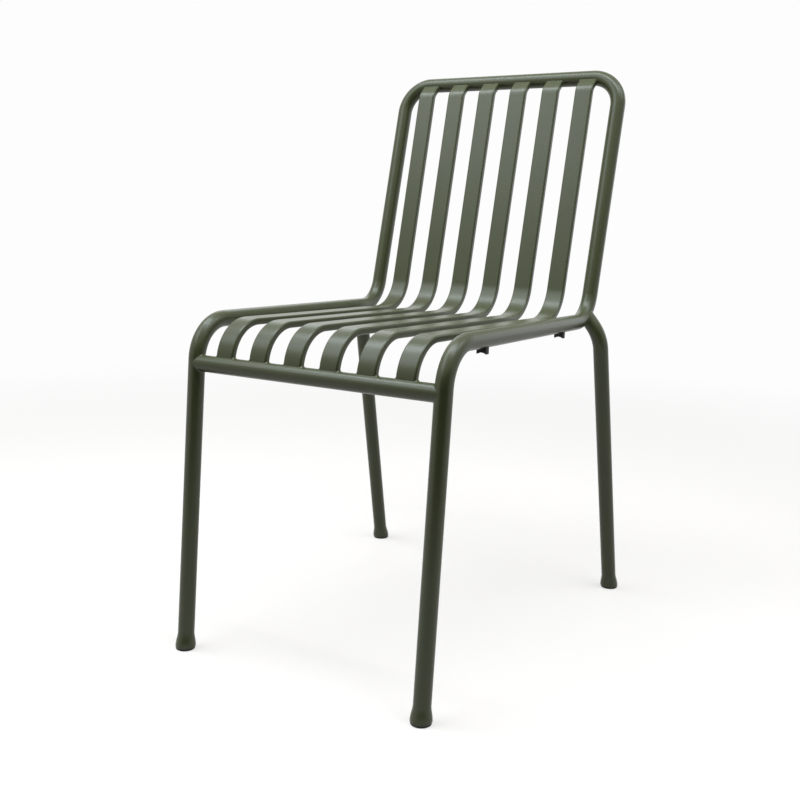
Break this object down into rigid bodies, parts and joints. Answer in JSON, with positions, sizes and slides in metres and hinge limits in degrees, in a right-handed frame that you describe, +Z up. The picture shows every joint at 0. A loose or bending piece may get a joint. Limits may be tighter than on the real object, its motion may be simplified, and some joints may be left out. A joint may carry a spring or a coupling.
{
  "type": "garden chair",
  "caption": "Stacking garden chair: bent round steel tube frame with flat tube slats for seat and back, splayed rear legs and floor glides.",
  "frame": {"origin": "on the floor, at the middle of the chair's width and depth", "axes": "+Z up, the chair faces -Y, +X to the right as seen from the front"},
  "size_m": [0.4608, 0.5796, 0.8],
  "materials": {
    "powder_coat": "satin",
    "black_plastic": "matte"
  },
  "bodies": {
    "root": {"foot_front_left": "powder_coat", "foot_front_right": "powder_coat", "foot_rear_left": "powder_coat", "foot_rear_right": "powder_coat", "front_rail": "powder_coat", "glide_front_left": "black_plastic", "glide_front_right": "black_plastic", "glide_rear_left": "black_plastic", "glide_rear_right": "black_plastic", "main_frame": "powder_coat", "pad_front_left": "black_plastic", "pad_front_right": "black_plastic", "pad_rear_left": "black_plastic", "pad_rear_right": "black_plastic", "rear_leg_left": "powder_coat", "rear_leg_right": "powder_coat", "slat_1": "powder_coat", "slat_2": "powder_coat", "slat_3": "powder_coat", "slat_4": "powder_coat", "slat_5": "powder_coat", "slat_6": "powder_coat"}
  },
  "joints": []
}
